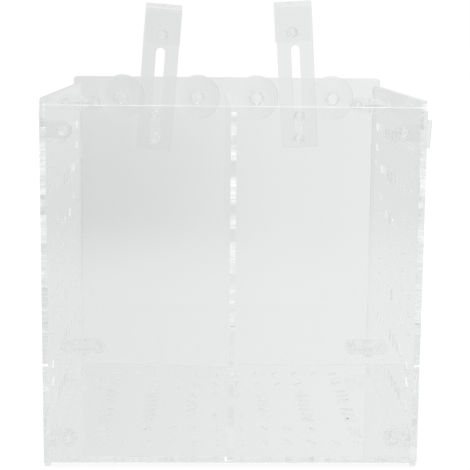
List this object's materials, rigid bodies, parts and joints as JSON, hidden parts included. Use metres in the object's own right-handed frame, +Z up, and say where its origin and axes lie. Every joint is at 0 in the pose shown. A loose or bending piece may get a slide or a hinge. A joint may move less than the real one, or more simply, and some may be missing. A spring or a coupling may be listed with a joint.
{
  "type": "fish breeding box",
  "caption": "Clear acrylic fish breeding box with a divider, slotted floor and sides, suction cups and bent hangers that clamp on an aquarium's rim.",
  "frame": {"origin": "centre of the whole part's footprint, in the plane that the feet stand on", "axes": "+X to the box's right seen from the front, -Y to the front, +Y to the aquarium's wall, +Z up"},
  "size_m": [0.2049, 0.2338, 0.2526],
  "materials": {
    "clear_acrylic": "clear polished sheet with laser-cut frosted edges",
    "clear_nylon": "clear moulded plastic",
    "soft_vinyl": "clear soft moulded vinyl"
  },
  "bodies": {
    "box": {"front_panel": "clear_acrylic", "back_panel": "clear_acrylic", "left_side_panel": "clear_acrylic", "right_side_panel": "clear_acrylic", "floor_panel": "clear_acrylic", "divider": "clear_acrylic", "left_hanger_screws": "clear_nylon", "right_hanger_screws": "clear_nylon", "left_hanger_nuts": "clear_nylon", "right_hanger_nuts": "clear_nylon", "outer_left_cup": "soft_vinyl", "inner_left_cup": "soft_vinyl", "inner_right_cup": "soft_vinyl", "outer_right_cup": "soft_vinyl", "back_top_left_bracket": "clear_acrylic", "back_top_right_bracket": "clear_acrylic", "back_bottom_left_bracket": "clear_acrylic", "back_bottom_right_bracket": "clear_acrylic", "front_bottom_left_bracket": "clear_acrylic", "front_bottom_right_bracket": "clear_acrylic", "front_left_key": "clear_acrylic", "front_right_key": "clear_acrylic", "back_corner_screws": "clear_nylon", "back_corner_nuts": "clear_nylon", "side_corner_screws": "clear_nylon", "side_corner_nuts": "clear_nylon", "front_corner_screws": "clear_nylon", "front_corner_nuts": "clear_nylon"},
    "left_hook": {"left_hanger": "clear_acrylic", "left_clamp_nut": "clear_nylon"},
    "right_hook": {"right_hanger": "clear_acrylic", "right_clamp_nut": "clear_nylon"},
    "left_clamp": {"left_clamp_screw": "clear_nylon"},
    "right_clamp": {"right_clamp_screw": "clear_nylon"}
  },
  "joints": [
    {"name": "left_hanger_slide", "type": "slide", "parent": "box", "child": "left_hook", "axis": [0.075, 0, 0.9972], "range_m": [-0.042, 0.0026]},
    {"name": "left_clamp_feed", "type": "slide", "parent": "left_hook", "child": "left_clamp", "axis": [0, -1, 0], "range_m": [-0.0055, 0.0036]},
    {"name": "right_hanger_slide", "type": "slide", "parent": "box", "child": "right_hook", "axis": [-0.061, 0, 0.9981], "range_m": [-0.0445, 0.0003]},
    {"name": "right_clamp_feed", "type": "slide", "parent": "right_hook", "child": "right_clamp", "axis": [0, -1, 0], "range_m": [-0.0055, 0.0036]}
  ]
}
